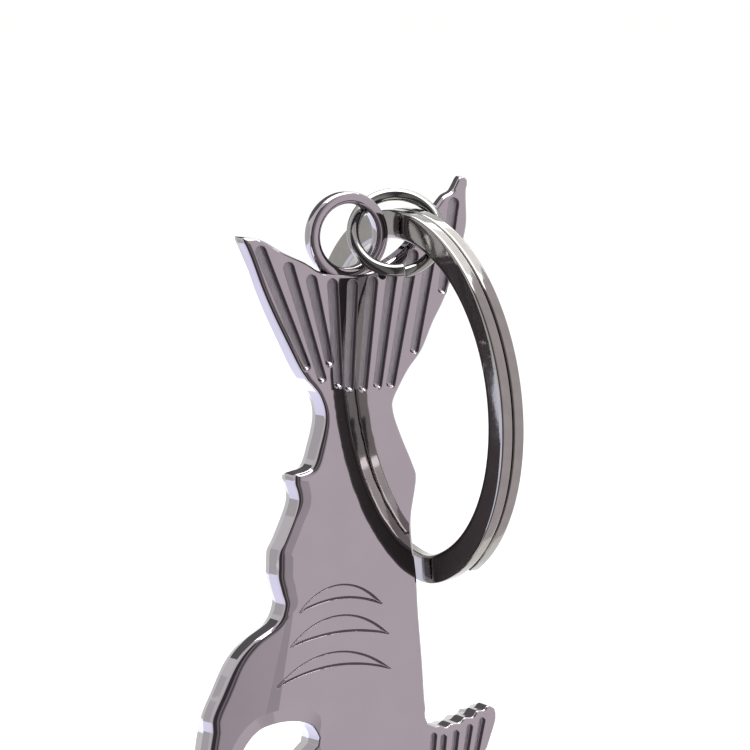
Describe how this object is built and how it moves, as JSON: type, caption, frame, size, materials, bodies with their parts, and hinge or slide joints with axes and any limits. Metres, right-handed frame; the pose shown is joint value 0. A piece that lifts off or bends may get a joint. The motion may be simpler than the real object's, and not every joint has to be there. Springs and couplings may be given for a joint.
{
  "type": "key ring bottle opener",
  "caption": "Flat cast shark-shaped bottle opener with an open-mouth cap hook, hanging from a split key ring by a small round jump ring.",
  "frame": {"origin": "middle of the body's flat back face, level with the gills", "axes": "+X across the casting towards the back fin, -Y out of the decorated front face, +Z from the snout towards the tail"},
  "size_m": [0.0264, 0.03, 0.0705],
  "materials": {
    "cast_body": "zinc die casting, mirror polished and plated in black nickel over nickel, faint lilac tone",
    "jump_wire": "round steel wire, bright nickel plate",
    "ring_steel": "flattened spring steel wire, bright nickel plate"
  },
  "bodies": {
    "opener": {"opener_body": "cast_body"},
    "jump_ring": {"jump_ring": "jump_wire"},
    "key_ring": {"split_key_ring": "ring_steel"}
  },
  "joints": [
    {"name": "jump_ring_swing", "type": "hinge", "parent": "opener", "child": "jump_ring", "pos_m": [0.00055, -0.0016, 0.02557], "axis": [0, -1, 0], "range_deg": [0, 150]},
    {"name": "key_ring_swing", "type": "hinge", "parent": "jump_ring", "child": "key_ring", "pos_m": [0.00554, -0.00205, 0.02638], "axis": [0.0422, -0.9991, 0], "range_deg": [0, 195]}
  ]
}
